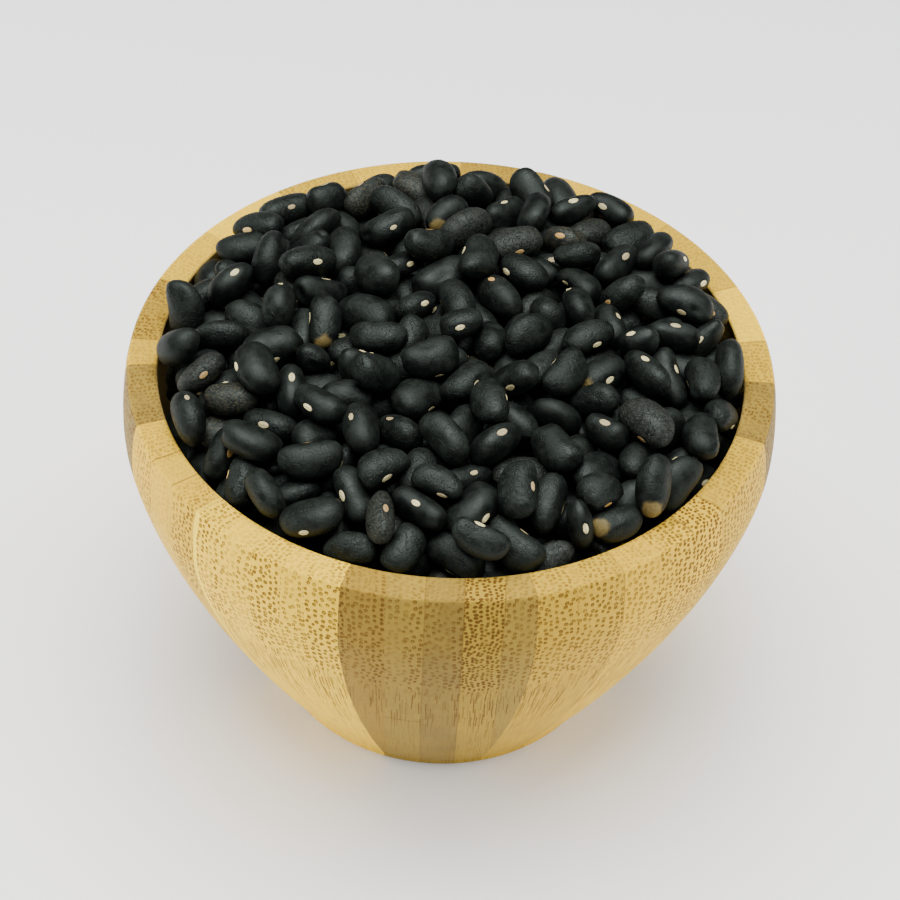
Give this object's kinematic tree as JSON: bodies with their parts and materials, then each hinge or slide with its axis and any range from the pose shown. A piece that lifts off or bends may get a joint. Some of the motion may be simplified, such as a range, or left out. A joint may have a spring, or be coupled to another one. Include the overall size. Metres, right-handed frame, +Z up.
{
  "type": "bowl of dried black beans",
  "caption": "Round turned bamboo bowl heaped with dried black beans that dome a little above its rim.",
  "frame": {"origin": "middle of the flat foot that the bowl stands on", "axes": "+Z up along the turned bowl's axis, -Y towards the front of the picture"},
  "size_m": [0.1296, 0.1296, 0.1006],
  "materials": {
    "bamboo": "laminated bamboo strips, turned and satin oiled, with end-grain dots and fibres",
    "bean_coat": "dry seed coat, black with a grey-green cast, matte to satin, with a small cream scar"
  },
  "bodies": {
    "root": {"bowl": "bamboo", "beans": "bean_coat"}
  },
  "joints": []
}
